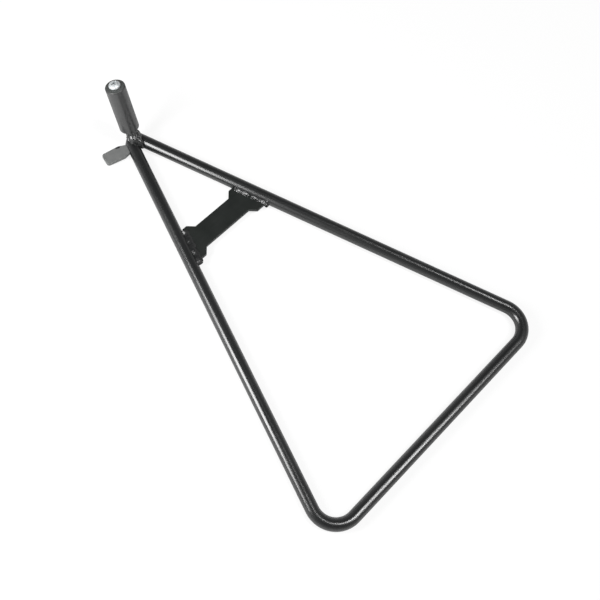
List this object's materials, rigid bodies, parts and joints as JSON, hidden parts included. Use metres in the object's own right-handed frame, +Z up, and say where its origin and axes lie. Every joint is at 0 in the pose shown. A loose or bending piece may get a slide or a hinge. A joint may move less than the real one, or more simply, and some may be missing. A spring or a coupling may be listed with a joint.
{
  "type": "rear axle bike stand",
  "caption": "Flat triangle of bent round bar with a cross plate and, at its apex, a leaning axle peg with a turning sleeve, to prop a motorcycle up by its hollow rear axle.",
  "frame": {"origin": "on the ground, under the middle of the stand's outline as it lies flat", "axes": "+Z up from the ground, +Y from the base bar to the apex, +X to the right when +Y points away from the viewer"},
  "size_m": [0.2276, 0.3502, 0.0648],
  "materials": {
    "gloss_black_coat": "gloss black powder coat on steel",
    "matte_black_coat": "satin black powder coat on steel",
    "dark_steel": "satin blackened steel",
    "sleeve_plastic": "satin dark grey moulded plastic",
    "tab_coat": "matte grey coat on steel",
    "bright_zinc": "bright zinc plate on steel"
  },
  "bodies": {
    "stand": {"frame_bar": "gloss_black_coat", "cross_plate": "matte_black_coat", "axle_stub": "dark_steel", "end_screw": "bright_zinc", "stop_tab": "tab_coat", "stub_weld": "gloss_black_coat", "tab_weld": "gloss_black_coat", "plate_weld_left_upper": "gloss_black_coat", "plate_weld_left_under": "gloss_black_coat", "plate_weld_right_upper": "gloss_black_coat", "plate_weld_right_under": "gloss_black_coat"},
    "sleeve": {"axle_sleeve": "sleeve_plastic"}
  },
  "joints": [
    {"name": "sleeve_spin", "type": "hinge", "parent": "stand", "child": "sleeve", "pos_m": [0, 0.16234, 0.04014], "axis": [0, 0.2588, 0.9659], "continuous": true}
  ]
}
